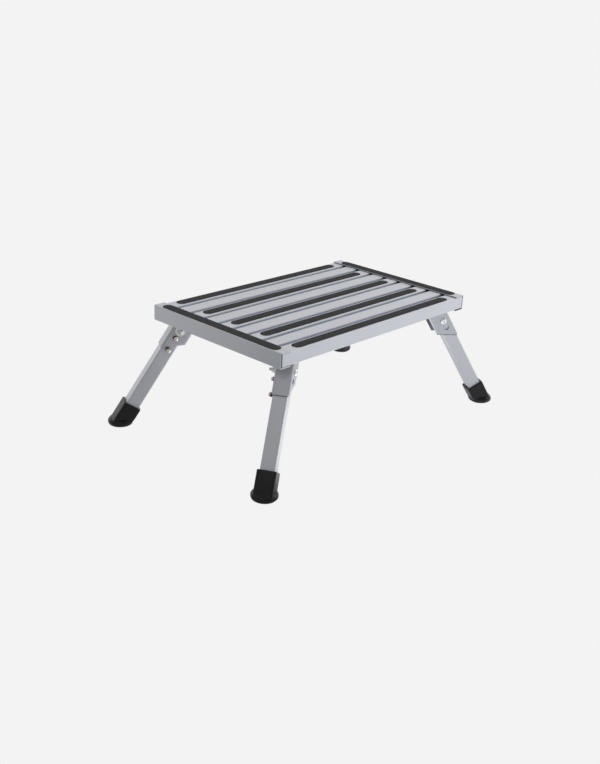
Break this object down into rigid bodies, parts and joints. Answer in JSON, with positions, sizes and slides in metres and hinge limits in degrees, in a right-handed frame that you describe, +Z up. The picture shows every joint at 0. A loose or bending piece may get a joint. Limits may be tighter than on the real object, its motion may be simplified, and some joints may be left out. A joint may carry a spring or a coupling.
{
  "type": "tailgate step",
  "caption": "Folding platform step: a slatted aluminium deck with black grip strips on splayed legs that swing in under it and lock by snap buttons.",
  "frame": {"origin": "on the ground, under the middle of the deck, with the legs open", "axes": "+X along the deck's long side, +Y towards its back long side, +Z up"},
  "size_m": [0.6304, 0.4018, 0.2152],
  "materials": {
    "end_channel": "satin silver, fine grained coat",
    "plank": "satin silver, fine grained coat",
    "leg_tube": "satin silver, fine grained coat",
    "bracket": "satin silver, fine grained coat",
    "grip": "black mineral grit on film",
    "foot": "black moulded rubber, satin",
    "zinc": "bright zinc plate",
    "rivet": "plain",
    "spring": "spring steel",
    "button": "polished, warm nickel plate"
  },
  "bodies": {
    "deck": {"left_end_channel": "end_channel", "right_end_channel": "end_channel", "front_side_rail": "plank", "front_plain_plank": "plank", "front_tread_plank": "plank", "front_middle_plain_plank": "plank", "middle_tread_plank": "plank", "back_middle_plain_plank": "plank", "back_tread_plank": "plank", "back_plain_plank": "plank", "back_side_rail": "plank", "front_grip": "grip", "front_tread_grip": "grip", "middle_tread_grip": "grip", "back_tread_grip": "grip", "back_grip": "grip", "left_end_grip": "grip", "right_end_grip": "grip", "left_deck_rivets": "rivet", "right_deck_rivets": "rivet", "bracket_rivets": "rivet", "front_left_leg_bracket": "bracket", "front_right_leg_bracket": "bracket", "back_left_leg_bracket": "bracket", "back_right_leg_bracket": "bracket", "pivot_bolts": "zinc", "pivot_washers": "zinc", "pivot_nuts": "zinc"},
    "front_left_leg": {"front_left_leg_tube": "leg_tube", "front_left_foot": "foot", "front_left_clip_spring": "spring"},
    "front_left_buttons": {"front_left_lock_button": "button", "front_left_release_button": "button"},
    "front_right_leg": {"front_right_leg_tube": "leg_tube", "front_right_foot": "foot", "front_right_clip_spring": "spring"},
    "front_right_buttons": {"front_right_lock_button": "button", "front_right_release_button": "button"},
    "back_left_leg": {"back_left_leg_tube": "leg_tube", "back_left_foot": "foot", "back_left_clip_spring": "spring"},
    "back_left_buttons": {"back_left_lock_button": "button", "back_left_release_button": "button"},
    "back_right_leg": {"back_right_leg_tube": "leg_tube", "back_right_foot": "foot", "back_right_clip_spring": "spring"},
    "back_right_buttons": {"back_right_lock_button": "button", "back_right_release_button": "button"}
  },
  "joints": [
    {"name": "front_left_leg_fold", "type": "hinge", "parent": "deck", "child": "front_left_leg", "pos_m": [-0.2046, -0.1283, 0.1704], "axis": [0.4955, -0.8686, 0], "range_deg": [0, 121.5], "deforming": ["front_left_lock_button"]},
    {"name": "front_left_button_press", "type": "slide", "parent": "front_left_leg", "child": "front_left_buttons", "axis": [0.4955, -0.8686, 0], "range_m": [0, 0.0092], "stiffness_N_per_m": 500, "deforming": ["front_left_clip_spring"]},
    {"name": "front_right_leg_fold", "type": "hinge", "parent": "deck", "child": "front_right_leg", "pos_m": [0.2046, -0.1283, 0.1704], "axis": [0.4955, 0.8686, 0], "range_deg": [0, 121.5], "deforming": ["front_right_lock_button"]},
    {"name": "front_right_button_press", "type": "slide", "parent": "front_right_leg", "child": "front_right_buttons", "axis": [-0.4955, -0.8686, 0], "range_m": [0, 0.0092], "stiffness_N_per_m": 500, "deforming": ["front_right_clip_spring"]},
    {"name": "back_left_leg_fold", "type": "hinge", "parent": "deck", "child": "back_left_leg", "pos_m": [-0.2046, 0.1283, 0.1704], "axis": [-0.4955, -0.8686, 0], "range_deg": [0, 121.5], "deforming": ["back_left_lock_button"]},
    {"name": "back_left_button_press", "type": "slide", "parent": "back_left_leg", "child": "back_left_buttons", "axis": [0.4955, 0.8686, 0], "range_m": [0, 0.0092], "stiffness_N_per_m": 500, "deforming": ["back_left_clip_spring"]},
    {"name": "back_right_leg_fold", "type": "hinge", "parent": "deck", "child": "back_right_leg", "pos_m": [0.2046, 0.1283, 0.1704], "axis": [-0.4955, 0.8686, 0], "range_deg": [0, 121.5], "deforming": ["back_right_lock_button"]},
    {"name": "back_right_button_press", "type": "slide", "parent": "back_right_leg", "child": "back_right_buttons", "axis": [-0.4955, 0.8686, 0], "range_m": [0, 0.0092], "stiffness_N_per_m": 500, "deforming": ["back_right_clip_spring"]}
  ]
}
